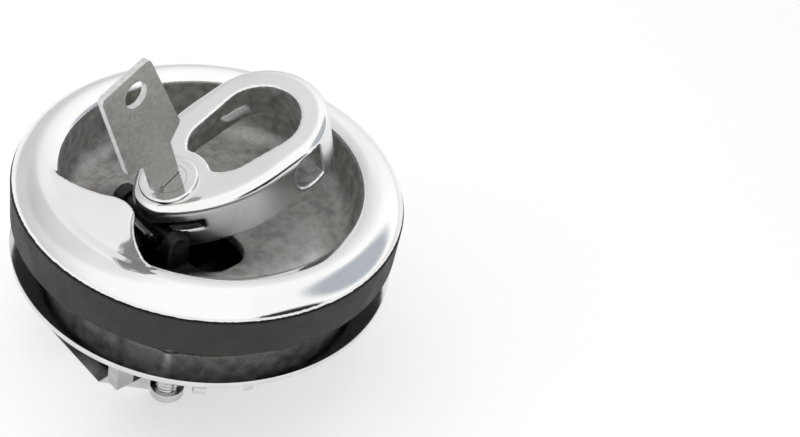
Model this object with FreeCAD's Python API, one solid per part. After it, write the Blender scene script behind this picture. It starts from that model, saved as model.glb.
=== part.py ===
import FreeCAD, Part
import math
import os

# Flush pull latch with a key lock, in millimetres and degrees.
# The origin is the centre of the gasket's underside, where the panel's face lies.
# +Z points out of the front, +X along the handle to its pull end, and the bolt shoots to -X.
# The handle stands raised, as it is drawn in use, with the bolt drawn back.

# Bezel and cup, one casting
bezel_r = 31.0
gasket_overhang = 0.2
gasket_w = 4.2
gasket_r = bezel_r + gasket_overhang
gasket_in = gasket_r - gasket_w
cup_gap = 1.2
cup_r = gasket_in - cup_gap
cup_side_t = 1.8
recess_r = cup_r - cup_side_t
crown_w = 3.2
crown_r = recess_r + crown_w
bezel_lip = 0.7
bezel_rise = 3.4
bezel_sag = 0.75
recess_edge_drop = 0.9
recess_edge_sag = 0.22
recess_fillet = 3.0
recess_depth = 10.4
floor_t = 2.0
cup_wall = 2.2
tongue_reach = 7.7
tongue_drop = 0.25
tongue_root = (2.4, 12.4)
tongue_flank = (3.4, 8.4)
tongue_shoulder = (6.0, 3.6)
well_left = -16.4
well_right = 0.2
well_neck = 4.4
well_half = 11.4
well_wide_from = -9.3
well_corner = 4.0
lug_gap = 5.3
lug_t = 2.2
lug_half = 2.1

# Seal, panel and clamping ring
gasket_t = 6.4
panel_t = 6.2
ring_overhang = 0.1
ring_r = gasket_r + ring_overhang
ring_t = 1.0
ring_hold = 6.0
ring_hole = cup_r - ring_hold
spigot_gap = 0.1

# Clamping screws, studs and their posts, given by their angle round the cup
screw_angles = (100.0, 118.0)
screw_inset = 3.4
screw_circle = cup_r - screw_inset
screw_r = 2.0
screw_head_r = 3.2
screw_head_h = 3.4
screw_head_bevel = 1.1
screw_slot_w = 0.9
screw_slot_h = 1.36
screw_depth = 5.4
screw_post_r = 3.4
stud_angle = 140.0
stud_inset = 2.6
stud_circle = cup_r - stud_inset
stud_r = 1.9
stud_tail = 11.0
stud_depth = 5.0
stud_post_r = 3.0
nut_flats = 6.6
nut_h = 3.2
washer_r = 3.5
washer_t = 0.6
collar_r = 2.7
collar_h = 1.6
hole_gap = 0.1
swing_gap = 0.3

# Pull handle, drawn flush and then raised about its pin
raised = 19.0
lift_left = 6.0
pivot_x = -12.0
pivot_z = 4.0
handle_top = 9.6
handle_depth = 9.4
handle_nose = -13.3
handle_nose_r = 5.0
handle_end_gap = 1.9
handle_end = recess_r - handle_end_gap
handle_half = 10.8
handle_wide_x = 5.5
handle_round = 1.7
handle_base_round = 0.5
plate_t = 2.7
skirt_t = 1.9
hole_half = 6.6
hole_end_w = 4.5
hole_end = handle_end - hole_end_w
hole_left = -2.0
hole_taper_r = 5.7
lip_w = 7.4
window_w = 5.8
window_right = handle_end - lip_w
window_left = window_right - window_w
window_round = 2.8
window_low = 1.3
window_high = 8.3
slot_to = -6.6
slot_low = 4.2
slot_high = 6.4
slot_cut = 1.3
knuckle_r = 2.4
knuckle_half = 2.6
lever_t = 2.2
lever_x = -12.6
lever_half = 2.6
toe_r = 1.6
toe_drop = 15.9
pin_r = 1.2
pin_gap = 0.05

# Key lock, along the handle's own upright
lock_x = -7.0
lock_rim_r = 4.7
lock_rim_h = 0.8
lock_rim_round = 0.48
lock_rim_w = 1.0
lock_body_r = 3.6
lock_body_tail = 2.1
lock_boss_r = 5.4
boss_wall = 1.1
plug_r = 2.75
plug_gap = 0.05
plug_tail = 1.0
plug_recess = 0.3
keyway_w = 1.2
keyway_l = 3.8
keyway_depth = 11.0
key_twist = 11.0
key_gap = 0.1
locknut_flats = 8.0
locknut_h = 2.0
cam_reach = 10.2
cam_root_r = 3.0
cam_tip_r = 2.2
cam_t = 1.0
cam_hub_r = 1.6
stub_r = 1.2
stub_h = 1.6
camnut_flats = 4.2
camnut_h = 1.3

# Key
neck_left = -3.5
neck_right = 1.9
neck_low = 0.7
neck_h = 7.2
bow_left = -6.9
bow_right = 4.7
bow_top_left = -7.1
bow_top_right = 2.6
bow_top = 24.6
bow_left_low = 8.0
bow_right_low = 9.2
bow_round = 0.9
bow_hole_r = 2.1
bow_hole_x = -1.4
bow_hole_up = 20.8

# Sliding bolt and its housing
housing_inset = 1.4
housing_r = cup_r - housing_inset
housing_flat = 15.6
housing_h = 8.2
channel_half = 8.1
channel_end_t = 4.8
channel_end = housing_r - channel_end_t
slide_gap = 0.15
slide_top = -9.6
slide_left = -19.0
slide_right = 7.0
neck_half = 6.9
neck_gap = 0.2
cover_t = 1.4
cover_left = -15.6
toe_slot = 3.6
toe_slot_depth = 4.4
nose_tip = (-25.0, -19.2)
nose_ramp_end = (-14.5, -28.1)
nose_root_x = -8.2
nose_shoulder = (-20.5, -18.5)
tab_half = 8.5
tab_face = ((-7.4, 0.0), (-4.9, -20.6), (-3.2, -27.0))
tab_back = ((-1.2, -27.0), (-1.7, -20.6), (-2.8, 0.0))
groove_count = 9
groove_depth = 0.55
groove_half = 0.42
groove_start = 0.16
groove_end = 0.86
guide_from = -24.2
guide_to = -16.2
guide_in = 7.3
guide_out = 10.6
guide_low = -18.2
cover_screw_places = ((13.2, 10.2), (-12.4, 10.9))
cover_screw_r = 1.5
cover_screw_head_r = 2.6
cover_screw_bite = 2.6
cover_screw_head_h = 1.1
cover_slot_w = 0.7
cover_slot_h = 0.5
cover_boss_r = 2.8
spring_r = 2.5
spring_wire_r = 0.4
spring_turns = 6
guide_pin_r = 1.3
guide_pin_gap = 0.9
guide_pin_bite = 2.0
drop_post_r = 2.5
drop_post_at = (-13.6, 13.2)
drop_post_h = 7.0

# Levels and places worked out from the sizes above
bezel_base = gasket_t
bezel_top = bezel_base + bezel_rise
rim_edge = bezel_top - recess_edge_drop
floor_z = bezel_top - recess_depth
floor_low = floor_z - floor_t
ring_top = -panel_t
ring_low = ring_top - ring_t
housing_low = ring_low - housing_h
cover_low = housing_low - cover_t
channel_top = slide_top + slide_gap
slide_low = housing_low + slide_gap
handle_low = handle_top - handle_depth
toe_z = pivot_z - toe_drop
lock_body_low = handle_low - lock_body_tail
plug_low = lock_body_low - plug_tail
cam_low = plug_low - cam_t
head_clear = screw_head_r + swing_gap
nut_clear = nut_flats / math.sqrt(3.0) + swing_gap
far = 100.0
nearly_along = 0.9
Z = FreeCAD.Vector(0, 0, 1)
Y = FreeCAD.Vector(0, 1, 0)

os.makedirs("parts", exist_ok=True)


def vec(x, y, z):
    return FreeCAD.Vector(x, y, z)


def polar(radius, angle, z=0.0):
    turn = math.radians(angle)
    return vec(radius * math.cos(turn), radius * math.sin(turn), z)


def block(x0, x1, y0, y1, z0, z1):
    return Part.makeBox(x1 - x0, y1 - y0, z1 - z0, vec(x0, y0, z0))


def rod(radius, low, high, at=(0.0, 0.0)):
    return Part.makeCylinder(radius, high - low, vec(at[0], at[1], low), Z)


def cross_rod(radius, half, x, z):
    return Part.makeCylinder(radius, 2 * half, vec(x, -half, z), Y)


def hexagon(flats, low, high, at):
    corner = flats / math.sqrt(3.0)
    points = [polar(corner, 60.0 * step + 30.0, low) + vec(at[0], at[1], 0) for step in range(7)]
    return Part.Face(Part.makePolygon(points)).extrude(vec(0, 0, high - low))


def solid_of(edges, direction):
    return Part.Face(Part.Wire(edges)).extrude(direction)


def arc(a, b, c):
    return Part.Arc(a, b, c).toShape()


def line(a, b):
    return Part.LineSegment(a, b).toShape()


def side_solid(points, half):
    """A prism across the latch from points (x, z) of its side view."""
    outline = [vec(x, -half, z) for x, z in points]
    outline.append(outline[0])
    return Part.Face(Part.makePolygon(outline)).extrude(vec(0, 2 * half, 0))


def raise_handle(shape):
    shape = shape.copy()
    shape.rotate(vec(pivot_x, 0, pivot_z), Y, -raised)
    return shape


def both_sides(points):
    return [(x, y * side) for x, y in points for side in (1, -1)]


def plan_points(radius, angles):
    return both_sides([(polar(radius, angle).x, polar(radius, angle).y) for angle in angles])


screw_spots = plan_points(screw_circle, screw_angles)
stud_spots = plan_points(stud_circle, (stud_angle,))
cover_screw_spots = both_sides(cover_screw_places)


def save(name, shape):
    shape = shape.removeSplitter() if len(shape.Solids) == 1 else shape
    solids = shape.Solids
    for solid in solids:
        if not solid.isValid():
            raise ValueError(name + " is not valid")
    out = solids[0] if len(solids) == 1 else Part.makeCompound(solids)
    out.exportStep("parts/" + name + ".step")
    print(name, len(solids), round(out.Volume, 1))
    return out


def tongue():
    """The spur of the rim that reaches in towards the handle's nose."""
    corners = (tongue_root, tongue_flank, tongue_shoulder)
    root, flank, shoulder = [vec(inset - recess_r, y, 0) for inset, y in corners]
    flip = [vec(p.x, -p.y, 0) for p in (root, flank, shoulder)]
    edges = [
        arc(root, flank, shoulder),
        arc(shoulder, vec(tongue_reach - recess_r, 0, 0), flip[2]),
        arc(flip[2], flip[1], flip[0]),
        arc(flip[0], vec(-root.Length, 0, 0), root),
    ]
    low = floor_z - floor_t / 2
    top = bezel_top - tongue_drop
    body = solid_of(edges, vec(0, 0, top - low))
    body.translate(vec(0, 0, low))
    return body


def well():
    """The opening in the cup's floor for the lever, the lock and its cam."""
    wide = block(well_wide_from, well_right, -well_half, well_half, floor_low, floor_z)
    upright = [e for e in wide.Edges if abs(e.tangentAt(e.FirstParameter).z) > nearly_along]
    wide = wide.makeFillet(well_corner, upright)
    neck = block(well_left, (well_wide_from + well_right) / 2, -well_neck, well_neck, floor_low, floor_z)
    return wide.fuse(neck)


def bezel_cup():
    lip = bezel_base + bezel_lip
    crown_in = (crown_r + recess_r) / 2
    inner = recess_r - recess_fillet
    bend = recess_fillet * (1 - math.sqrt(0.5))
    skirt_in = cup_r - cup_wall
    edges = [
        line(vec(bezel_r, 0, bezel_base), vec(bezel_r, 0, lip)),
        arc(vec(bezel_r, 0, lip), vec((bezel_r + crown_r) / 2, 0, bezel_top - bezel_sag),
            vec(crown_r, 0, bezel_top)),
        arc(vec(crown_r, 0, bezel_top), vec(crown_in, 0, bezel_top - recess_edge_sag),
            vec(recess_r, 0, rim_edge)),
        line(vec(recess_r, 0, rim_edge), vec(recess_r, 0, floor_z + recess_fillet)),
        arc(vec(recess_r, 0, floor_z + recess_fillet), vec(recess_r - bend, 0, floor_z + bend),
            vec(inner, 0, floor_z)),
        line(vec(inner, 0, floor_z), vec(0, 0, floor_z)),
        line(vec(0, 0, floor_z), vec(0, 0, floor_low)),
        line(vec(0, 0, floor_low), vec(skirt_in, 0, floor_low)),
        line(vec(skirt_in, 0, floor_low), vec(skirt_in, 0, ring_top)),
        line(vec(skirt_in, 0, ring_top), vec(cup_r, 0, ring_top)),
        line(vec(cup_r, 0, ring_top), vec(cup_r, 0, bezel_base)),
        line(vec(cup_r, 0, bezel_base), vec(bezel_r, 0, bezel_base)),
    ]
    body = Part.Face(Part.Wire(edges)).revolve(vec(0, 0, 0), Z, 360)
    recess = rod(recess_r, floor_low, bezel_top)
    posts = [rod(screw_post_r, ring_top, bezel_base, spot).cut(recess) for spot in screw_spots]
    posts += [rod(stud_post_r, ring_top, bezel_base, spot).cut(recess) for spot in stud_spots]
    under = [rod(screw_post_r, ring_top, floor_low, spot) for spot in screw_spots]
    under += [rod(stud_post_r, ring_top, floor_low, spot) for spot in stud_spots]
    under += [rod(cover_boss_r, ring_top - spigot_gap, floor_low, spot) for spot in cover_screw_spots]
    body = body.fuse(posts + under)
    body = body.fuse(tongue())
    body = body.cut(well())
    lug = block(pivot_x - lug_half, pivot_x + lug_half, lug_gap, lug_gap + lug_t, floor_low, pivot_z)
    lug = lug.fuse(Part.makeCylinder(lug_half, lug_t, vec(pivot_x, lug_gap, pivot_z), Y))
    body = body.fuse([lug, lug.mirror(vec(0, 0, 0), Y)])
    holes = [rod(screw_r, ring_top, ring_low + screw_depth, spot) for spot in screw_spots]
    holes += [rod(stud_r, ring_top, ring_low + stud_depth, spot) for spot in stud_spots]
    holes += [rod(cover_screw_r, ring_top - spigot_gap, ring_top + cover_screw_bite, spot)
              for spot in cover_screw_spots]
    holes.append(cross_rod(pin_r, lug_gap + lug_t, pivot_x, pivot_z))
    return body.cut(holes)


def gasket():
    return rod(gasket_r, 0, gasket_t).cut(rod(gasket_in, 0, gasket_t))


def clamp_ring():
    body = rod(ring_r, ring_low, ring_top).cut(rod(ring_hole, ring_low, ring_top))
    holes = [rod(screw_r + hole_gap, ring_low, ring_top, spot) for spot in screw_spots]
    holes += [rod(stud_r + hole_gap, ring_low, ring_top, spot) for spot in stud_spots]
    return body.cut(holes)


def pan_screw(spot):
    shank = rod(screw_r, ring_low, ring_low + screw_depth, spot)
    head = rod(screw_head_r, ring_low - screw_head_h, ring_low, spot)
    crown = [e for e in head.Edges if e.BoundBox.ZMax < ring_low - screw_head_h / 2]
    head = head.makeChamfer(screw_head_bevel, crown)
    slot = block(-screw_slot_w / 2, screw_slot_w / 2, -screw_head_r, screw_head_r, 0, screw_slot_h)
    slot.translate(vec(spot[0], spot[1], ring_low - screw_head_h))
    return shank.fuse(head).cut(slot)


def clamp_stud(spot):
    tail = ring_low - stud_tail
    return rod(stud_r, tail, ring_low + stud_depth, spot)


def stud_nut(spot):
    top = ring_low - washer_t
    return hexagon(nut_flats, top - nut_h, top, spot).cut(rod(stud_r, top - nut_h, top, spot))


def stud_washer(spot):
    low = ring_low - washer_t
    return rod(washer_r, low, ring_low, spot).cut(rod(stud_r, low, ring_low, spot))


def stud_collar(spot):
    low = ring_low - stud_tail
    return rod(collar_r, low, low + collar_h, spot).cut(rod(stud_r, low, low + collar_h, spot))


def latch_housing():
    body = rod(housing_r, housing_low, ring_low)
    body = body.cut(block(-far, far, housing_flat, far, housing_low, ring_low))
    for side in (1, -1):
        low, high = sorted((side * guide_out, side * far))
        body = body.cut(block(-far, guide_to, low, high, housing_low, ring_low))
        low, high = sorted((side * guide_in, side * guide_out))
        guide = block(guide_from, guide_to, low, high, guide_low, ring_low)
        body = body.fuse(guide)
    body = body.fuse(rod(ring_hole - spigot_gap, ring_low, ring_top - spigot_gap))
    body = body.fuse(rod(drop_post_r, ring_low - drop_post_h, ring_low, drop_post_at))
    body = body.cut([rod(head_clear, housing_low, ring_low, spot) for spot in screw_spots])
    body = body.cut([rod(nut_clear, housing_low, ring_low, spot) for spot in stud_spots])
    body = body.cut(block(-far, channel_end, -channel_half, channel_half, guide_low, channel_top))
    window = block(well_left + spigot_gap, well_right, -well_neck, well_neck, channel_top, ring_top)
    body = body.cut(window)
    bores = [rod(cover_screw_r, housing_low, ring_top, spot) for spot in cover_screw_spots]
    pin_z = (slide_top + slide_low) / 2
    pin_bore = Part.makeCylinder(guide_pin_r, guide_pin_bite, vec(channel_end, 0, pin_z), vec(1, 0, 0))
    return body.cut(bores + [pin_bore])


def housing_cover():
    body = rod(housing_r, cover_low, housing_low)
    body = body.cut(block(-far, far, housing_flat, far, cover_low, housing_low))
    body = body.cut(block(-far, cover_left, -far, far, cover_low, housing_low))
    body = body.cut([rod(head_clear, cover_low, housing_low, spot) for spot in screw_spots])
    body = body.cut([rod(nut_clear, cover_low, housing_low, spot) for spot in stud_spots])
    half = neck_half + neck_gap
    body = body.cut(block(-far, slide_right, -half, half, cover_low, housing_low))
    return body.cut([cover_screw(spot) for spot in cover_screw_spots])


def cover_screw(spot):
    """A countersunk screw, its head flush with the cover's back."""
    at = vec(spot[0], spot[1], cover_low)
    cone = Part.makeCone(cover_screw_head_r, cover_screw_r, cover_screw_head_h, at, Z)
    top = ring_top - spigot_gap + cover_screw_bite
    return cone.fuse(rod(cover_screw_r, cover_low + cover_screw_head_h, top, spot))


def slotted_cover_screw(spot):
    half = cover_slot_w / 2
    slot = block(-half, half, -cover_screw_head_r, cover_screw_head_r, 0, cover_slot_h)
    slot.translate(vec(spot[0], spot[1], cover_low))
    return cover_screw(spot).cut(slot)


def sliding_bolt():
    slide = block(slide_left, slide_right, -channel_half + slide_gap, channel_half - slide_gap,
                  slide_low, slide_top)
    neck = block(slide_left, tab_back[2][0], -neck_half, neck_half, cover_low - neck_gap, slide_low)
    root = cover_low - neck_gap
    nose = side_solid([nose_tip, nose_ramp_end, (nose_root_x, root), (nose_root_x, slide_low),
                       (nose_shoulder[0], slide_low), nose_shoulder], neck_half)
    face = [vec(x, -tab_half, z if z else root) for x, z in tab_face]
    back = [vec(x, -tab_half, z if z else root) for x, z in tab_back]
    front = arc(*face)
    edges = [front, line(face[2], back[0]), arc(*back), line(back[2], face[0])]
    tab = solid_of(edges, vec(0, 2 * tab_half, 0))
    grooves = []
    centre = front.Curve.Center
    first, last = front.FirstParameter, front.LastParameter
    for step in range(groove_count):
        share = groove_start + (groove_end - groove_start) * step / (groove_count - 1)
        point = front.valueAt(first + (last - first) * share)
        outward = (point - centre).normalize()
        along = vec(-outward.z, 0, outward.x)
        corners = [point - along * groove_half - outward * groove_depth,
                   point + along * groove_half - outward * groove_depth,
                   point + outward * groove_depth]
        corners.append(corners[0])
        grooves.append(Part.Face(Part.makePolygon(corners)).extrude(vec(0, 2 * tab_half, 0)))
    tab = tab.cut(grooves)
    body = slide.fuse([neck, nose, tab])
    toe_x = raise_handle(Part.Vertex(lever_x, 0, toe_z)).BoundBox.XMin
    pocket = block(toe_x - toe_slot / 2, toe_x + toe_slot / 2, -lever_half - neck_gap,
                   lever_half + neck_gap, slide_top - toe_slot_depth, slide_top)
    return body.cut(pocket)


def bolt_spring():
    """The bolt's return spring, seated on the bolt's end and the housing's end wall."""
    length = channel_end - slide_right
    centre_z = (slide_top + slide_low) / 2
    coil_r = spring_r - spring_wire_r
    pitch = (length - 2 * spring_wire_r) / spring_turns
    helix = Part.makeHelix(pitch, length - 2 * spring_wire_r, coil_r)
    section = Part.Wire(Part.makeCircle(spring_wire_r, vec(coil_r, 0, 0), Y))
    coil = Part.Wire(helix.Edges).makePipeShell([section], True, True)
    coil.rotate(vec(0, 0, 0), Y, 90)
    coil.translate(vec(slide_right + spring_wire_r, 0, centre_z))
    return coil


def spring_guide_pin():
    free = channel_end - slide_right - guide_pin_gap
    travel = math.radians(lift_left) * toe_drop
    low = slide_right + travel + guide_pin_gap
    pin_z = (slide_top + slide_low) / 2
    length = min(free, channel_end - low) + guide_pin_bite
    start = channel_end + guide_pin_bite - length
    return Part.makeCylinder(guide_pin_r, length, vec(start, 0, pin_z), vec(1, 0, 0))


def handle_outline(z):
    """The egg-shaped plan of the handle, narrow at its nose and round at its pull end."""
    nose_x = handle_nose + handle_nose_r
    span = handle_wide_x - nose_x
    rise = handle_half - handle_nose_r
    flank_r = (span ** 2 + handle_half ** 2 - handle_nose_r ** 2) / (2 * rise)
    flank_centre = vec(handle_wide_x, flank_r - handle_half, z)
    nose_centre = vec(nose_x, 0, z)
    lean = (nose_centre - flank_centre).normalize()
    cheek = flank_centre + lean * flank_r
    middle = (lean + vec(0, -1, 0)).normalize()
    mid = flank_centre + middle * flank_r
    wide = vec(handle_wide_x, -handle_half, z)
    end_x = handle_end - handle_half
    flip = [vec(p.x, -p.y, z) for p in (cheek, mid, wide)]
    edges = [
        arc(flip[0], vec(handle_nose, 0, z), cheek),
        arc(cheek, mid, wide),
        line(wide, vec(end_x, -handle_half, z)),
        arc(vec(end_x, -handle_half, z), vec(handle_end, 0, z), vec(end_x, handle_half, z)),
        line(vec(end_x, handle_half, z), flip[2]),
        arc(flip[2], flip[1], flip[0]),
    ]
    return Part.Wire(edges)


def egg(small_r, small_at, large_r, large_at, z):
    """The outline round two circles on the X axis, the smaller one on the left."""
    span = large_at - small_at
    sink = (large_r - small_r) / span
    rise = math.sqrt(1 - sink * sink)
    circles = ((small_r, small_at), (large_r, large_at))
    near = [vec(at - radius * sink, -radius * rise, z) for radius, at in circles]
    back = [vec(p.x, -p.y, z) for p in near]
    return [
        line(near[0], near[1]),
        arc(near[1], vec(large_at + large_r, 0, z), back[1]),
        line(back[1], back[0]),
        arc(back[0], vec(small_at - small_r, 0, z), near[0]),
    ]


def finger_hole(low, high):
    edges = egg(hole_taper_r, hole_left + hole_taper_r, hole_half, hole_end - hole_half, low)
    hole = solid_of(edges, vec(0, 0, high - low))
    return hole.cut(rod(lock_boss_r + boss_wall, low, high, (lock_x, 0)))


def end_window():
    """The opening under the handle's crown, through both side walls next to the pull end."""
    window = block(window_left, window_right, -far, far, window_low, window_high)
    rounded = [e for e in window.Edges if abs(e.tangentAt(e.FirstParameter).y) > nearly_along
               and e.BoundBox.XMax < (window_left + window_right) / 2]
    return window.makeFillet(window_round, rounded)


def nose_groove():
    """The deep groove round the handle's nose."""
    face = Part.Face(handle_outline(slot_low))
    rise = vec(0, 0, slot_high - slot_low)
    groove = face.makeOffset2D(slot_cut).extrude(rise)
    groove = groove.cut(face.makeOffset2D(-slot_cut).extrude(rise))
    return groove.cut(block(slot_to, far, -far, far, slot_low, slot_high))


def pull_handle():
    face = Part.Face(handle_outline(handle_low))
    body = face.extrude(vec(0, 0, handle_depth))
    top = [e for e in body.Edges if e.BoundBox.ZMin > handle_top - handle_base_round]
    body = body.makeFillet(handle_round, top)
    inner = face.makeOffset2D(-skirt_t)
    hollow = inner.extrude(vec(0, 0, handle_depth - plate_t))
    hollow = hollow.cut(block(hole_end, far, -far, far, handle_low, handle_top))
    hollow = hollow.cut(rod(lock_boss_r, handle_low, handle_top, (lock_x, 0)))
    hollow = hollow.cut(block(-far, lock_x, -knuckle_half, knuckle_half, handle_low, handle_top))
    body = body.cut([hollow, finger_hole(handle_low, handle_top), end_window(), nose_groove()])
    knuckle = cross_rod(knuckle_r, knuckle_half, pivot_x, pivot_z)
    knuckle = knuckle.cut(nose_groove())
    lever = block(lever_x - lever_t / 2, lever_x + lever_t / 2, -lever_half, lever_half, toe_z, slot_low)
    toe = cross_rod(toe_r, lever_half, lever_x, toe_z)
    body = body.fuse([knuckle, lever, toe])
    body = body.cut(cross_rod(pin_r + pin_gap, far, pivot_x, pivot_z))
    body = body.cut(rod(lock_body_r, handle_low, handle_top, (lock_x, 0)))
    return raise_handle(body)


def pivot_pin():
    return cross_rod(pin_r, lug_gap + lug_t, pivot_x, pivot_z)


def lock_barrel():
    at = (lock_x, 0)
    rim_top = handle_top + lock_rim_h
    rim = rod(lock_rim_r, handle_top, rim_top, at)
    edge = [e for e in rim.Edges if e.BoundBox.ZMin > handle_top + lock_rim_h / 2]
    rim = rim.makeFillet(lock_rim_round, edge)
    body = rim.fuse(rod(lock_body_r, lock_body_low, handle_top, at))
    body = body.cut(rod(plug_r + plug_gap, lock_body_low, rim_top, at))
    dish = rod(lock_rim_r - lock_rim_w, rim_top - plug_recess, rim_top, at)
    return raise_handle(body.cut(dish))


def lock_nut():
    at = (lock_x, 0)
    nut = hexagon(locknut_flats, handle_low - locknut_h, handle_low, at)
    return raise_handle(nut.cut(rod(lock_body_r, handle_low - locknut_h, handle_low, at)))


def lock_plug():
    at = (lock_x, 0)
    face_z = handle_top + lock_rim_h - plug_recess
    body = rod(plug_r, plug_low, face_z, at)
    body = body.fuse(rod(cam_hub_r, cam_low, plug_low, at))
    body = body.fuse(rod(stub_r, cam_low - stub_h, cam_low, at))
    keyway = block(-keyway_l / 2, keyway_l / 2, -keyway_w / 2, keyway_w / 2, 0, keyway_depth)
    keyway.rotate(vec(0, 0, 0), Z, key_twist)
    keyway.translate(vec(lock_x, 0, face_z - keyway_depth))
    return raise_handle(body.cut(keyway))


def lock_cam():
    """The locking cam, pointing across the latch while it is unlocked."""
    reach = cam_reach - cam_tip_r
    spread = (cam_root_r - cam_tip_r) / reach
    lean = math.sqrt(1 - spread * spread)
    root = vec(cam_root_r * lean, cam_root_r * spread, 0)
    tip = vec(cam_tip_r * lean, reach + cam_tip_r * spread, 0)
    edges = [
        line(root, tip),
        arc(tip, vec(0, cam_reach, 0), vec(-tip.x, tip.y, 0)),
        line(vec(-tip.x, tip.y, 0), vec(-root.x, root.y, 0)),
        arc(vec(-root.x, root.y, 0), vec(0, -cam_root_r, 0), root),
    ]
    body = solid_of(edges, vec(0, 0, cam_t))
    body.translate(vec(lock_x, 0, cam_low))
    return raise_handle(body.cut(rod(cam_hub_r, cam_low, plug_low, (lock_x, 0))))


def cam_nut():
    at = (lock_x, 0)
    nut = hexagon(camnut_flats, cam_low - camnut_h, cam_low, at)
    return raise_handle(nut.cut(rod(stub_r, cam_low - camnut_h, cam_low, at)))


def key():
    """A flat key: bow, neck and blade, standing in the plug."""
    face_z = handle_top + lock_rim_h - plug_recess
    half_t = keyway_w / 2 - key_gap
    left = [(neck_left, neck_low), (neck_left, neck_h), (bow_left, bow_left_low), (bow_top_left, bow_top)]
    right = [
        (bow_top_right, bow_top),
        (bow_right, bow_right_low),
        (neck_right, neck_h),
        (neck_right, neck_low),
    ]
    outline = [(x, face_z + z) for x, z in left + right]
    body = side_solid(outline, half_t)
    above = face_z + neck_h + bow_round / 2
    corners = [e for e in body.Edges
               if abs(e.tangentAt(e.FirstParameter).y) > nearly_along and e.BoundBox.ZMin > above]
    body = body.makeFillet(bow_round, corners)
    blade_half = keyway_l / 2 - key_gap
    blade_low = face_z - keyway_depth + key_gap
    blade = block(-blade_half, blade_half, -half_t, half_t, blade_low, face_z + neck_low)
    body = body.fuse(blade)
    body = body.cut(cross_rod(bow_hole_r, far, bow_hole_x, face_z + bow_hole_up))
    body.rotate(vec(0, 0, 0), Z, key_twist)
    body.translate(vec(lock_x, 0, 0))
    return raise_handle(body)


def group(maker, spots):
    return Part.makeCompound([maker(spot) for spot in spots])


save("bezel_cup", bezel_cup())
save("gasket", gasket())
save("clamp_ring", clamp_ring())
save("clamp_screws", group(pan_screw, screw_spots))
save("clamp_studs", group(clamp_stud, stud_spots))
save("stud_washers", group(stud_washer, stud_spots))
save("stud_nuts", group(stud_nut, stud_spots))
save("stud_collars", group(stud_collar, stud_spots))
save("latch_housing", latch_housing())
save("housing_cover", housing_cover())
save("cover_screws", group(slotted_cover_screw, cover_screw_spots))
save("sliding_bolt", sliding_bolt())
save("bolt_spring", bolt_spring())
save("spring_guide_pin", spring_guide_pin())
save("pull_handle", pull_handle())
save("pivot_pin", pivot_pin())
save("lock_barrel", lock_barrel())
save("lock_nut", lock_nut())
save("lock_plug", lock_plug())
save("lock_cam", lock_cam())
save("cam_nut", cam_nut())
save("key", key())
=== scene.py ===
import math
import bpy
from mathutils import Matrix, Vector, noise

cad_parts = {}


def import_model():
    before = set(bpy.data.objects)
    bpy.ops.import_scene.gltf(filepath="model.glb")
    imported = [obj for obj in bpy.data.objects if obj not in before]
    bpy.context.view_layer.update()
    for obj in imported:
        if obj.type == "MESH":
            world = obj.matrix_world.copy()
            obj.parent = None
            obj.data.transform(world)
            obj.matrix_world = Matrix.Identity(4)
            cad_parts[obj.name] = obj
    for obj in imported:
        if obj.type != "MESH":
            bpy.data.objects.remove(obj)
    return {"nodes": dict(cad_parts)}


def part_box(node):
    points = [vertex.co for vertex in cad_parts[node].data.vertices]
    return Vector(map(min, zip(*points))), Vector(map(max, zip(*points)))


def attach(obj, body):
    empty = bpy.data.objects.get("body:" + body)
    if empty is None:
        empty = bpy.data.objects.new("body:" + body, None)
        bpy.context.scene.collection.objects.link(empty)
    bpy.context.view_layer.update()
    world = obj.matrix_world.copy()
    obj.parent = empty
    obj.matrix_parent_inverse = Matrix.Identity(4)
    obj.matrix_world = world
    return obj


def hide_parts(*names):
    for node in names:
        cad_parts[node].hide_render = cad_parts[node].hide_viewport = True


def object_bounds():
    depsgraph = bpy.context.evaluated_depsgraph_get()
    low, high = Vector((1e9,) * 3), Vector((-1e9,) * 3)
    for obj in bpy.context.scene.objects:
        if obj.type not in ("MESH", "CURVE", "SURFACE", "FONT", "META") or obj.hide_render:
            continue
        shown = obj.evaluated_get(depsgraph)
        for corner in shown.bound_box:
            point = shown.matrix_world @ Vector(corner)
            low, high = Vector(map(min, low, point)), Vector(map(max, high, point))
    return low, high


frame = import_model()
cad_low, cad_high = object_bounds()
nodes = frame["nodes"]
MM = 0.001

# Camera, fitted to the photograph
CAMERA_AT = Vector((-105.98, -114.85, 137.77)) * MM
CAMERA_LOOKS_AT = Vector((26.857, -18.052, 0.0)) * MM
CAMERA_ROLL = math.radians(14.93)
CAMERA_LENS = 56.61
SENSOR_WIDTH = 36.0

# Levels of the studio
AMBIENT = 0.5
FLOOR_COLOUR = 0.82
FLOOR_LIFT = 0.42
FLOOR_HALF = 1.5
STUDIO_DIM = (0.7, 0.705, 0.715)
STUDIO_BRIGHT = (1.16, 1.16, 1.16)
BRIGHT_SIDE = (0.1, -0.9, 0.4)
BRIGHT_EDGE = (-0.8, 0.2)
WHITE = (1.0, 1.0, 1.0)

# Darker flags that metal mirrors: the direction, the cosines where the edge fades, and the tone
FLAGS = (
    ((0.71, -0.44, 0.54), (0.86, 0.95), (0.44, 0.47, 0.51)),
    ((0.1, -0.985, 0.12), (0.935, 0.97), (0.03, 0.03, 0.035)),
    ((-0.2, 0.6, 0.75), (0.84, 0.95), (0.82, 0.82, 0.83)),
)

# Lamps: the name, the place, the width and the power
LAMPS = (
    ("lamp_top", (-0.05, 0.08, 0.45), 0.48, 0.7),
    ("lamp_left", (-0.42, 0.1, 0.2), 0.3, 0.25),
)

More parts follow.
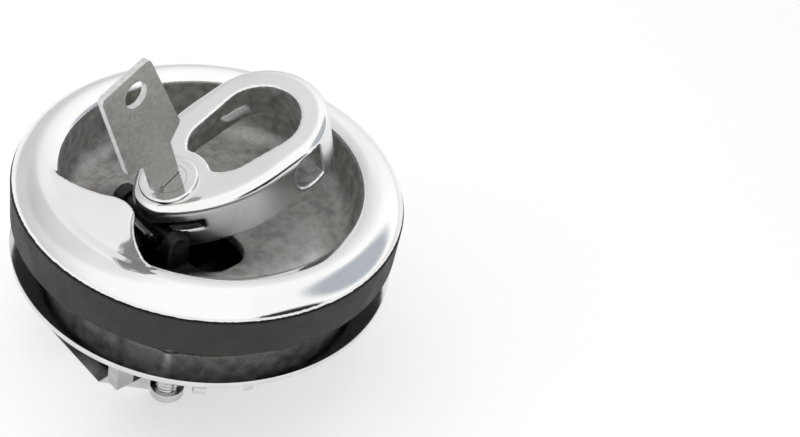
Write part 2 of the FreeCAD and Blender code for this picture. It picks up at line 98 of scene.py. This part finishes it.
# Handle: it stands raised about its pin, with its lock's axis in line with its own upright
HANDLE_RAISED = math.radians(19.0)
PIN_LOW, PIN_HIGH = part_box("pivot_pin")
PIVOT = Vector(((PIN_LOW.x + PIN_HIGH.x) / 2, 0.0, (PIN_LOW.z + PIN_HIGH.z) / 2))
HANDLE_LEFT = 4 * MM
HANDLE_RIGHT = 23 * MM
# Below LEVER_TOP the handle's lever gets painted shade, as does the slot given below
LEVER_TOP = -4.1 * MM
LEVER_FADE = 0.25 * MM
HANDLE_CROWN = 6.8 * MM
CROWN_FADE = 0.5 * MM
CROWN_FACING = (0.2, 0.5)
WALL_FACING = (0.1, 0.4)
SLOT_END = -6.6 * MM
SLOT_LOW = 4.2 * MM
SLOT_HIGH = 6.4 * MM
SLOT_SOFT = 0.1 * MM

# The key stands a little turned in its lock
KEY_TWIST = math.radians(11.0)

# Soft cast forms
BEZEL_VOXEL = 0.3 * MM
HANDLE_VOXEL = 0.23 * MM
MOST_TRIANGLES = 150000
SOFT_ROUNDS = 6
SAND_SCALE = 1400.0
SAND_DEPTH = 0.05 * MM

# Finish of the bezel: its sizes, and the ranges over which each share fades
BEZEL_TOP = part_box("bezel_cup")[1].z
RIM_DEPTH = 1.3 * MM
RIM_FADE = 0.25 * MM
SEAT_RADIUS = 26.1 * MM
SEAT_FADE = 0.2 * MM
CUP_RADIUS = 24.9 * MM
CUP_FADE = 0.5 * MM
TOP_FACING = (-0.1, 0.45)
# Painted shade: a share on the cup's outer wall, and the share in the well above its deep part
OUTER_SHADE = 0.4
WELL_SHADE = 0.93
WELL_SIDE = (9.5 * MM, 12.5 * MM)
WELL_FRONT = (-4 * MM, 1.5 * MM)
WELL_BACK = (-25 * MM, -23 * MM)
WELL_HEIGHT = (3 * MM, 7 * MM)
WORN_POLISH = 0.95
WORN_SIDE = (10 * MM, 15 * MM)
WORN_RING = (15 * MM, 19 * MM)
WORN_CUP = (24.4 * MM, 24.8 * MM)
WORN_RIGHT = (5 * MM, 13 * MM)
WORN_HEIGHT = (-1.5 * MM, -0.5 * MM)

# Soft edge of the painted shade, worked edges and threads
SHADE_EDGE = 0.3 * MM
EDGE_ROUND = 0.12 * MM
EDGE_ANGLE = math.radians(35.0)
WELD_GAP = 0.002 * MM
EDGED = (
    "clamp_ring",
    "clamp_screws",
    "stud_nuts",
    "stud_washers",
    "stud_collars",
    "latch_housing",
    "housing_cover",
    "cover_screws",
    "lock_nut",
    "lock_cam",
    "cam_nut",
    "sliding_bolt",
    "key",
)
THREAD_PITCH = 0.7 * MM
THREAD_DEPTH = 0.24 * MM
THREAD_CHAMFER = 0.35 * MM
THREAD_CREST = 1.3
THREAD_ROWS = 6
THREAD_SIDES = 36


def node_tree(material):
    """The material's nodes, cleared down to one shader and its output."""
    material.use_nodes = True
    tree = material.node_tree
    tree.nodes.clear()
    shader = tree.nodes.new("ShaderNodeBsdfPrincipled")
    output = tree.nodes.new("ShaderNodeOutputMaterial")
    tree.links.new(shader.outputs["BSDF"], output.inputs["Surface"])
    return tree, shader


def noise_of(tree, scale, detail=3.0):
    """A noise texture in the object's own metres."""
    place = tree.nodes.new("ShaderNodeTexCoord").outputs["Object"]
    texture = tree.nodes.new("ShaderNodeTexNoise")
    texture.inputs["Scale"].default_value = scale
    texture.inputs["Detail"].default_value = detail
    tree.links.new(place, texture.inputs["Vector"])
    return texture.outputs["Fac"]


def scaled(tree, value, factor):
    """value times factor."""
    node = tree.nodes.new("ShaderNodeMath")
    node.operation = "MULTIPLY"
    node.inputs[1].default_value = factor
    tree.links.new(value, node.inputs[0])
    return node.outputs[0]


def ranged(tree, value, low, high, from_low=0.3, from_high=0.7):
    """value stretched from its middle range to low and high."""
    node = tree.nodes.new("ShaderNodeMapRange")
    node.interpolation_type = "SMOOTHSTEP"
    node.inputs["From Min"].default_value = from_low
    node.inputs["From Max"].default_value = from_high
    node.inputs["To Min"].default_value = low
    node.inputs["To Max"].default_value = high
    tree.links.new(value, node.inputs["Value"])
    return node.outputs["Result"]


def toned(tree, value, dark, light):
    """A colour between dark and light by value."""
    ramp = tree.nodes.new("ShaderNodeValToRGB")
    ramp.color_ramp.interpolation = "EASE"
    ramp.color_ramp.elements[0].position = 0.3
    ramp.color_ramp.elements[0].color = (*dark, 1.0)
    ramp.color_ramp.elements[1].position = 0.7
    ramp.color_ramp.elements[1].color = (*light, 1.0)
    tree.links.new(value, ramp.inputs["Fac"])
    return ramp.outputs["Color"]


def bumped(tree, shader, value, depth):
    """Gives the shader's normal a relief of that depth, and returns the relief's node."""
    bump = tree.nodes.new("ShaderNodeBump")
    bump.inputs["Distance"].default_value = depth
    bump.inputs["Strength"].default_value = 1.0
    tree.links.new(value, bump.inputs["Height"])
    tree.links.new(bump.outputs["Normal"], shader.inputs["Normal"])
    return bump


def metal(name, tones, gloss, tone_scale, grain_scale, grain_depth):
    """A metal whose tone, gloss and grain vary over it."""
    material = bpy.data.materials.new(name)
    tree, shader = node_tree(material)
    shader.inputs["Metallic"].default_value = 1.0
    tone = noise_of(tree, tone_scale)
    tree.links.new(toned(tree, tone, *tones), shader.inputs["Base Color"])
    tree.links.new(ranged(tree, tone, *gloss), shader.inputs["Roughness"])
    bumped(tree, shader, noise_of(tree, grain_scale), grain_depth)
    return material


def rubber():
    """Matt charcoal seal rubber with a faint bloom."""
    material = bpy.data.materials.new("rubber_black")
    tree, shader = node_tree(material)
    tone = noise_of(tree, 300.0, 7.0)
    bloom = toned(tree, tone, (0.018, 0.017, 0.016), (0.034, 0.032, 0.03))
    tree.links.new(bloom, shader.inputs["Base Color"])
    tree.links.new(ranged(tree, tone, 0.55, 0.75), shader.inputs["Roughness"])
    bumped(tree, shader, noise_of(tree, 1500.0, 6.0), 0.12 * MM)
    return material


def within(tree, low, high, soft):
    """1 inside a box of the object's own space, and 0 beyond its soft edge."""
    place = tree.nodes.new("ShaderNodeTexCoord").outputs["Object"]
    split = tree.nodes.new("ShaderNodeSeparateXYZ")
    tree.links.new(place, split.inputs["Vector"])
    share = None
    for axis in range(3):
        value = split.outputs[axis]
        above = ranged(tree, value, 0.0, 1.0, low[axis] - soft, low[axis])
        below = ranged(tree, value, 1.0, 0.0, high[axis], high[axis] + soft)
        for part in (above, below):
            share = times(tree, share, part) if share else part
    return share


def times(tree, one, other):
    """One value times another."""
    node = tree.nodes.new("ShaderNodeMath")
    node.operation = "MULTIPLY"
    tree.links.new(one, node.inputs[0])
    tree.links.new(other, node.inputs[1])
    return node.outputs[0]


def shaded_inside(name, tones, gloss, low, high):
    """A plain metal with near-black painted shade inside a box of its own space."""
    material = bpy.data.materials.new(name)
    tree, shader = node_tree(material)
    shader.inputs["Metallic"].default_value = 1.0
    tone = noise_of(tree, 260.0, 4.0)
    black = toned(tree, tone, (0.008, 0.008, 0.008), (0.018, 0.018, 0.018))
    share = within(tree, low, high, SHADE_EDGE)
    colour = blended(tree, share, toned(tree, tone, *tones), black)
    tree.links.new(colour, shader.inputs["Base Color"])
    tree.links.new(ranged(tree, tone, *gloss), shader.inputs["Roughness"])
    bumped(tree, shader, noise_of(tree, 1900.0), 0.01 * MM)
    return material


def blended(tree, share, one, other):
    """A colour or value that goes from one to other by share."""
    node = tree.nodes.new("ShaderNodeMix")
    node.data_type = "RGBA"
    tree.links.new(share, node.inputs["Factor"])
    tree.links.new(one, node.inputs[6])
    tree.links.new(other, node.inputs[7])
    return node.outputs[2]


def casting():
    """Rough sand-cast steel that turns to mirror polish, and to near-black painted shade, where those
    shares are laid on the mesh.
    """
    material = bpy.data.materials.new("steel_cast_and_polished")
    tree, shader = node_tree(material)
    shader.inputs["Metallic"].default_value = 1.0
    share = painted(tree, "polish")
    sand = noise_of(tree, 620.0, 7.0)
    cloud = noise_of(tree, 120.0, 3.0)
    grey = toned(tree, sand, (0.3, 0.292, 0.278), (0.56, 0.55, 0.53))
    pale = toned(tree, cloud, (0.34, 0.332, 0.318), (0.66, 0.65, 0.63))
    lit = blended(tree, scaled(tree, cloud, 0.5), grey, pale)
    # Near-black painted shade in the well, on the cup's outer wall, in the handle's slot and on its lever
    painted_shade = painted(tree, "painted_shade")
    black = toned(tree, sand, (0.012, 0.012, 0.012), (0.03, 0.029, 0.028))
    rough_colour = blended(tree, painted_shade, lit, black)
    bright = toned(tree, noise_of(tree, 60.0, 2.0), (0.8, 0.8, 0.795), (0.87, 0.87, 0.865))
    tree.links.new(blended(tree, share, rough_colour, bright), shader.inputs["Base Color"])
    rough = ranged(tree, sand, 0.5, 0.68)
    mirror = ranged(tree, cloud, 0.06, 0.11)
    satin = ranged(tree, cloud, 0.26, 0.32)
    gloss = mixed(tree, painted(tree, "satin"), mirror, satin)
    tree.links.new(mixed(tree, share, rough, gloss), shader.inputs["Roughness"])
    bump = bumped(tree, shader, noise_of(tree, 2100.0, 4.0), 0.11 * MM)
    tree.links.new(faded(tree, share, 1.0, 0.012), bump.inputs["Strength"])
    return material


def mixed(tree, share, one, other):
    """A number that goes from one to other by share."""
    node = tree.nodes.new("ShaderNodeMix")
    node.data_type = "FLOAT"
    tree.links.new(share, node.inputs["Factor"])
    tree.links.new(one, node.inputs[2])
    tree.links.new(other, node.inputs[3])
    return node.outputs[0]


def faded(tree, share, one, other):
    """A number that goes from one plain number to another by share."""
    node = tree.nodes.new("ShaderNodeMix")
    node.data_type = "FLOAT"
    tree.links.new(share, node.inputs["Factor"])
    node.inputs[2].default_value = one
    node.inputs[3].default_value = other
    return node.outputs[0]


def painted(tree, name):
    """A share painted on the mesh's points."""
    node = tree.nodes.new("ShaderNodeAttribute")
    node.attribute_name = name
    return node.outputs["Fac"]


def key_share(tree):
    """The key's narrow edges are bright and its flats are matt."""
    facing = tree.nodes.new("ShaderNodeVectorMath")
    facing.operation = "DOT_PRODUCT"
    facing.inputs[1].default_value = (-math.sin(KEY_TWIST), math.cos(KEY_TWIST), 0.0)
    tree.links.new(tree.nodes.new("ShaderNodeTexCoord").outputs["Normal"], facing.inputs[0])
    size = tree.nodes.new("ShaderNodeMath")
    size.operation = "ABSOLUTE"
    tree.links.new(facing.outputs["Value"], size.inputs[0])
    return ranged(tree, size.outputs[0], 1.0, 0.0, 0.4, 0.6)


def key_finish():
    """Matt nickel on the key's flats, bright on its edges."""
    material = bpy.data.materials.new("key_metal")
    tree, shader = node_tree(material)
    shader.inputs["Metallic"].default_value = 0.6
    share = key_share(tree)
    speck = noise_of(tree, 1500.0, 5.0)
    flat = toned(tree, speck, (0.36, 0.352, 0.333), (0.47, 0.46, 0.437))
    bright = toned(tree, speck, (0.66, 0.66, 0.65), (0.82, 0.82, 0.81))
    tree.links.new(blended(tree, share, flat, bright), shader.inputs["Base Color"])
    tree.links.new(ranged(tree, speck, 0.36, 0.5), shader.inputs["Roughness"])
    bumped(tree, shader, noise_of(tree, 2600.0), 0.012 * MM)
    return material


CASTING = casting()
CAST = metal(
    "steel_cast_rough",
    ((0.24, 0.234, 0.224), (0.42, 0.41, 0.395)),
    (0.42, 0.58),
    420.0,
    1900.0,
    0.07 * MM,
)
# Near-black steel for the pivot pin: painted shade where the pin sits in the well's shadow
SHADE_STEEL = metal(
    "steel_painted_shade",
    ((0.025, 0.024, 0.023), (0.05, 0.049, 0.047)),
    (0.4, 0.55),
    420.0,
    1900.0,
    0.05 * MM,
)
# The housing and the bolt are near-black inside a box: painted shade on their inner parts, seen through
# the well
HOUSING = shaded_inside(
    "steel_housing",
    ((0.42, 0.413, 0.4), (0.56, 0.55, 0.535)),
    (0.24, 0.34),
    (-21 * MM, -10.6 * MM, -21.5 * MM),
    (21 * MM, 10.6 * MM, 2 * MM),
)
BOLT = shaded_inside(
    "steel_bolt",
    ((0.62, 0.62, 0.61), (0.74, 0.74, 0.73)),
    (0.12, 0.2),
    (-17 * MM, -9 * MM, -18.5 * MM),
    (17 * MM, 9 * MM, 0.0),
)
RUBBER = rubber()
SCREW = metal(
    "steel_screw",
    ((0.48, 0.48, 0.47), (0.6, 0.6, 0.59)),
    (0.14, 0.26),
    400.0,
    3000.0,
    0.003 * MM,
)
PLATE = metal(
    "steel_plate",
    ((0.66, 0.66, 0.65), (0.74, 0.74, 0.73)),
    (0.1, 0.15),
    300.0,
    2600.0,
    0.001 * MM,
)
SPRING = metal(
    "steel_spring",
    ((0.34, 0.34, 0.34), (0.46, 0.46, 0.46)),
    (0.2, 0.32),
    500.0,
    3000.0,
    0.002 * MM,
)
LOCK = metal(
    "lock_metal",
    ((0.76, 0.76, 0.75), (0.84, 0.84, 0.83)),
    (0.06, 0.12),
    300.0,
    3400.0,
    0.001 * MM,
)
KEY = key_finish()

NODE_FINISH = {
    "bezel_cup": CAST,
    "pull_handle": CAST,
    "gasket": RUBBER,
    "clamp_ring": PLATE,
    "clamp_screws": SCREW,
    "clamp_studs": SCREW,
    "stud_washers": SCREW,
    "stud_nuts": SCREW,
    "stud_collars": SCREW,
    "latch_housing": HOUSING,
    "housing_cover": PLATE,
    "cover_screws": SCREW,
    "bolt_spring": SPRING,
    "spring_guide_pin": SCREW,
    "pivot_pin": SHADE_STEEL,
    "lock_barrel": LOCK,
    "lock_nut": LOCK,
    "lock_plug": LOCK,
    "lock_cam": PLATE,
    "cam_nut": SCREW,
    "key": KEY,
    "sliding_bolt": BOLT,
}


def repaint():
    """Gives each carried-over solid its finish."""
    for name, material in NODE_FINISH.items():
        mesh = nodes[name].data
        mesh.materials.clear()
        mesh.materials.append(material)


def edged():
    """Breaks the sharp edges of the machined pieces."""
    for name in EDGED:
        weld = nodes[name].modifiers.new("weld", "WELD")
        weld.merge_threshold = WELD_GAP
        bevel = nodes[name].modifiers.new("edges", "BEVEL")
        bevel.width = EDGE_ROUND
        bevel.segments = 2
        bevel.limit_method = "ANGLE"
        bevel.angle_limit = EDGE_ANGLE
        bevel.use_clamp_overlap = True


def threaded(low, high, verts, faces):
    """Adds one threaded rod that fills the space between two corners."""
    middle = (low + high) / 2
    radius = (high.y - low.y) / 2
    rows = round((high.z - low.z) / THREAD_PITCH * THREAD_ROWS)
    first = len(verts)
    for row in range(rows + 1):
        z = low.z + (high.z - low.z) * row / rows
        end = max(0.0, THREAD_CHAMFER - min(z - low.z, high.z - z))
        for side in range(THREAD_SIDES):
            angle = math.tau * side / THREAD_SIDES
            turn = (z / THREAD_PITCH - side / THREAD_SIDES) % 1.0
            out = radius - THREAD_DEPTH * min(1.0, THREAD_CREST * abs(2 * turn - 1)) - end
            spot = (middle.x + out * math.cos(angle), middle.y + out * math.sin(angle), z)
            verts.append(spot)
    for row in range(rows):
        for side in range(THREAD_SIDES):
            a = first + row * THREAD_SIDES + side
            b = first + row * THREAD_SIDES + (side + 1) % THREAD_SIDES
            faces.append((a, b, b + THREAD_SIDES, a + THREAD_SIDES))
    last = first + rows * THREAD_SIDES
    faces.append(tuple(range(first + THREAD_SIDES - 1, first - 1, -1)))
    faces.append(tuple(range(last, last + THREAD_SIDES)))


def studs():
    """The two studs with their rolled threads."""
    verts = []
    faces = []
    for side in (1, -1):
        spots = [v.co for v in nodes["clamp_studs"].data.vertices if v.co.y * side > 0]
        low = Vector([min(spot[axis] for spot in spots) for axis in range(3)])
        high = Vector([max(spot[axis] for spot in spots) for axis in range(3)])
        threaded(low, high, verts, faces)
    mesh = bpy.data.meshes.new("studs_threaded")
    mesh.from_pydata(verts, [], faces)
    mesh.materials.append(SCREW)
    mesh.shade_smooth()
    piece = bpy.data.objects.new("studs_threaded", mesh)
    bpy.context.scene.collection.objects.link(piece)
    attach(piece, "housing")
    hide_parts("clamp_studs")


def handle_place(point):
    """A point in the handle's own upright frame, as when it lies flush, about its pin."""
    off = point - PIVOT
    c, s = math.cos(HANDLE_RAISED), math.sin(HANDLE_RAISED)
    return Vector((off.x * c + off.z * s, off.y, off.z * c - off.x * s))


def smooth_step(value, low, high):
    """0 below low, 1 above high, smooth between."""
    share = min(1.0, max(0.0, (value - low) / (high - low)))
    return share * share * (3 - 2 * share)


def bezel_shares(point, normal):
    """Polish on the bezel's face and the spur's top, and painted shade in the well and under the spur.

    The shares are those of polish, painted shade, satin and sand relief.
    """
    edge = BEZEL_TOP - RIM_DEPTH
    above = smooth_step(point.z, edge - RIM_FADE, edge)
    radius = math.hypot(point.x, point.y)
    outside = smooth_step(radius, SEAT_RADIUS, SEAT_RADIUS + SEAT_FADE)
    polish = max(above * smooth_step(normal.z, *TOP_FACING), outside)
    across = 1 - smooth_step(abs(point.y), *WELL_SIDE)
    along = 1 - smooth_step(point.x, *WELL_FRONT)
    deep = 1 - smooth_step(point.z, *WELL_HEIGHT)
    behind = smooth_step(point.x, *WELL_BACK)
    worn = smooth_step(-point.y, *WORN_SIDE) * smooth_step(radius, *WORN_RING)
    worn *= 1 - smooth_step(radius, *WORN_CUP)
    worn *= 1 - smooth_step(point.x, *WORN_RIGHT)
    worn *= (1 - above) * smooth_step(point.z, *WORN_HEIGHT)
    # Painted shade on the cup's outer wall, in the gap under the clamp ring
    outer = smooth_step(radius, CUP_RADIUS, CUP_RADIUS + CUP_FADE) * (1 - outside) * OUTER_SHADE
    polish = max(polish, WORN_POLISH * worn)
    # Painted shade in the well under the spur, round the pin's lugs
    well = min(across, along, max(deep, WELL_SHADE)) * behind
    return polish, max(outer, well), worn, 1 - polish


def handle_shares(point, normal):
    """Polish on the handle's top and, to a satin, on its walls, and painted shade in its slot and on its
    lever.
    """
    place = handle_place(point)
    facing = handle_place(point + normal) - place
    middle = min(HANDLE_RIGHT, max(HANDLE_LEFT, place.x))
    out = Vector((place.x - middle, place.y)).normalized().dot(facing.xy)
    # Above LEVER_TOP the handle is polished, and below it the lever gets painted shade
    upper = smooth_step(place.z, LEVER_TOP, LEVER_TOP + LEVER_FADE)
    top = smooth_step(facing.z, *CROWN_FACING)
    spot = place + PIVOT
    crown = top * smooth_step(spot.z, HANDLE_CROWN, HANDLE_CROWN + CROWN_FADE)
    # Painted shade in the slot at the handle's nose
    slot = 1 - smooth_step(spot.x, SLOT_END, SLOT_END + SLOT_SOFT)
    slot *= smooth_step(spot.z, SLOT_LOW - SLOT_SOFT, SLOT_LOW + SLOT_SOFT)
    slot *= 1 - smooth_step(spot.z, SLOT_HIGH - SLOT_SOFT, SLOT_HIGH + SLOT_SOFT)
    wall = smooth_step(out, *WALL_FACING)
    polish = max(crown, wall) * upper * (1 - slot)
    return polish, max(1 - upper, slot), 1 - top, 1 - max(top, wall) * upper


def softened(node, name, body, voxel, shares_of):
    """A cast piece with soft edges, its finish painted and its rough parts sanded in relief."""
    source = nodes[node]
    piece = bpy.data.objects.new(name, source.data.copy())
    bpy.context.scene.collection.objects.link(piece)
    remesh = piece.modifiers.new("cast", "REMESH")
    remesh.mode = "VOXEL"
    remesh.voxel_size = voxel
    soften = piece.modifiers.new("soften", "SMOOTH")
    soften.factor = 0.5
    soften.iterations = SOFT_ROUNDS
    bpy.context.view_layer.update()
    dense = piece.evaluated_get(bpy.context.evaluated_depsgraph_get()).data
    thin = piece.modifiers.new("thin", "DECIMATE")
    thin.ratio = min(1.0, MOST_TRIANGLES / (2 * len(dense.polygons)))
    bpy.context.view_layer.update()
    graph = bpy.context.evaluated_depsgraph_get()
    mesh = bpy.data.meshes.new_from_object(piece.evaluated_get(graph))
    piece.modifiers.clear()
    piece.data = mesh
    mesh.shade_smooth()
    shares = [shares_of(v.co, v.normal) for v in mesh.vertices]
    spots = []
    for vertex, share in zip(mesh.vertices, shares):
        rise = share[3] * SAND_DEPTH * noise.noise(vertex.co * SAND_SCALE)
        spots.extend(vertex.co + vertex.normal * rise)
    mesh.vertices.foreach_set("co", spots)
    # The shares of polish, painted shade and satin go onto the points
    for place, layer_name in enumerate(("polish", "painted_shade", "satin")):
        layer = mesh.attributes.new(layer_name, "FLOAT", "POINT")
        layer.data.foreach_set("value", [share[place] for share in shares])
    mesh.update()
    mesh.materials.clear()
    mesh.materials.append(CASTING)
    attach(piece, body)
    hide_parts(node)


def floor(low):
    """A plain pale floor under the part, a little lifted where it is seen or mirrored."""
    mesh = bpy.data.meshes.new("floor")
    turns = ((-1, -1), (1, -1), (1, 1), (-1, 1))
    corners = [(x * FLOOR_HALF, y * FLOOR_HALF, low) for x, y in turns]
    mesh.from_pydata(corners, [], [(0, 1, 2, 3)])
    plane = bpy.data.objects.new("floor", mesh)
    bpy.context.scene.collection.objects.link(plane)
    material = bpy.data.materials.new("floor_pale")
    tree, shader = node_tree(material)
    shader.inputs["Base Color"].default_value = (FLOOR_COLOUR, FLOOR_COLOUR, FLOOR_COLOUR, 1.0)
    shader.inputs["Roughness"].default_value = 1.0
    shader.inputs["Specular IOR Level"].default_value = 0.0
    shader.inputs["Emission Color"].default_value = (1.0, 1.0, 1.0, 1.0)
    seen = seen_rays(tree)
    tree.links.new(scaled(tree, seen, FLOOR_LIFT), shader.inputs["Emission Strength"])
    mesh.materials.append(material)


def larger(tree, one, other):
    """The larger of two values."""
    node = tree.nodes.new("ShaderNodeMath")
    node.operation = "MAXIMUM"
    tree.links.new(one, node.inputs[0])
    tree.links.new(other, node.inputs[1])
    return node.outputs[0]


def seen_rays(tree):
    """1 for rays from the camera, a mirror or a glass."""
    path = tree.nodes.new("ShaderNodeLightPath")
    mirrored = larger(tree, path.outputs["Is Glossy Ray"], path.outputs["Is Transmission Ray"])
    return larger(tree, path.outputs["Is Camera Ray"], mirrored)


def toward(tree, direction, edge, far_tone, near_tone):
    """A tone that changes from far to near as a mirrored ray nears a direction."""
    facing = tree.nodes.new("ShaderNodeVectorMath")
    facing.operation = "DOT_PRODUCT"
    facing.inputs[1].default_value = Vector(direction).normalized()
    tree.links.new(tree.nodes.new("ShaderNodeTexCoord").outputs["Generated"], facing.inputs[0])
    node = tree.nodes.new("ShaderNodeMix")
    node.data_type = "RGBA"
    node.inputs[6].default_value = (*far_tone, 1.0)
    node.inputs[7].default_value = (*near_tone, 1.0)
    share = ranged(tree, facing.outputs["Value"], 0.0, 1.0, *edge)
    tree.links.new(share, node.inputs["Factor"])
    return node.outputs[2]


def product(tree, one, other):
    """One colour times another."""
    node = tree.nodes.new("ShaderNodeMix")
    node.data_type = "RGBA"
    node.blend_type = "MULTIPLY"
    node.inputs["Factor"].default_value = 1.0
    tree.links.new(one, node.inputs[6])
    tree.links.new(other, node.inputs[7])
    return node.outputs[2]


def background(tree, strength):
    """A white background shader of that strength."""
    node = tree.nodes.new("ShaderNodeBackground")
    node.inputs["Color"].default_value = (1.0, 1.0, 1.0, 1.0)
    node.inputs["Strength"].default_value = strength
    return node


def world():
    """White where the camera looks, and a pale studio with three darker flags where metal mirrors it."""
    made = bpy.data.worlds.new("studio")
    bpy.context.scene.world = made
    made.use_nodes = True
    tree = made.node_tree
    tree.nodes.clear()
    output = tree.nodes.new("ShaderNodeOutputWorld")
    lit = background(tree, AMBIENT)
    seen = background(tree, 1.0)
    mirrored = tree.nodes.new("ShaderNodeBackground")
    studio = toward(tree, BRIGHT_SIDE, BRIGHT_EDGE, STUDIO_DIM, STUDIO_BRIGHT)
    for direction, edge, tone in FLAGS:
        studio = product(tree, studio, toward(tree, direction, edge, WHITE, tone))
    tree.links.new(studio, mirrored.inputs["Color"])
    path = tree.nodes.new("ShaderNodeLightPath")
    glossy = larger(tree, path.outputs["Is Glossy Ray"], path.outputs["Is Transmission Ray"])
    first = tree.nodes.new("ShaderNodeMixShader")
    tree.links.new(glossy, first.inputs[0])
    tree.links.new(lit.outputs[0], first.inputs[1])
    tree.links.new(mirrored.outputs[0], first.inputs[2])
    second = tree.nodes.new("ShaderNodeMixShader")
    tree.links.new(path.outputs["Is Camera Ray"], second.inputs[0])
    tree.links.new(first.outputs[0], second.inputs[1])
    tree.links.new(seen.outputs[0], second.inputs[2])
    tree.links.new(second.outputs[0], output.inputs["Surface"])


def softbox(name, place, size, power):
    """A square lamp that faces the part's middle."""
    lamp = bpy.data.lights.new(name, "AREA")
    lamp.shape = "SQUARE"
    lamp.size = size
    lamp.energy = power
    held = bpy.data.objects.new(name, lamp)
    held.location = place
    held.rotation_mode = "QUATERNION"
    held.rotation_quaternion = (-Vector(place)).to_track_quat("-Z", "Y")
    held.visible_glossy = False
    bpy.context.scene.collection.objects.link(held)


def camera():
    """The photograph's viewpoint, rolled as the picture is."""
    data = bpy.data.cameras.new("camera")
    data.lens = CAMERA_LENS
    data.sensor_width = SENSOR_WIDTH
    data.clip_start = 1 * MM
    data.clip_end = 10.0
    held = bpy.data.objects.new("camera", data)
    ahead = (CAMERA_LOOKS_AT - CAMERA_AT).normalized()
    level = ahead.cross(Vector((0.0, 0.0, 1.0))).normalized()
    upright = level.cross(ahead)
    right = level * math.cos(CAMERA_ROLL) + upright * math.sin(CAMERA_ROLL)
    up = upright * math.cos(CAMERA_ROLL) - level * math.sin(CAMERA_ROLL)
    turned = Matrix((right, up, -ahead)).transposed().to_4x4()
    held.matrix_world = Matrix.Translation(CAMERA_AT) @ turned
    bpy.context.scene.collection.objects.link(held)
    bpy.context.scene.camera = held


repaint()
edged()
studs()
softened("bezel_cup", "bezel_and_cup", "housing", BEZEL_VOXEL, bezel_shares)
softened("pull_handle", "handle", "handle", HANDLE_VOXEL, handle_shares)
floor(cad_low.z)
world()
for lamp in LAMPS:
    softbox(*lamp)
camera()
bpy.context.scene.view_settings.view_transform = "Standard"
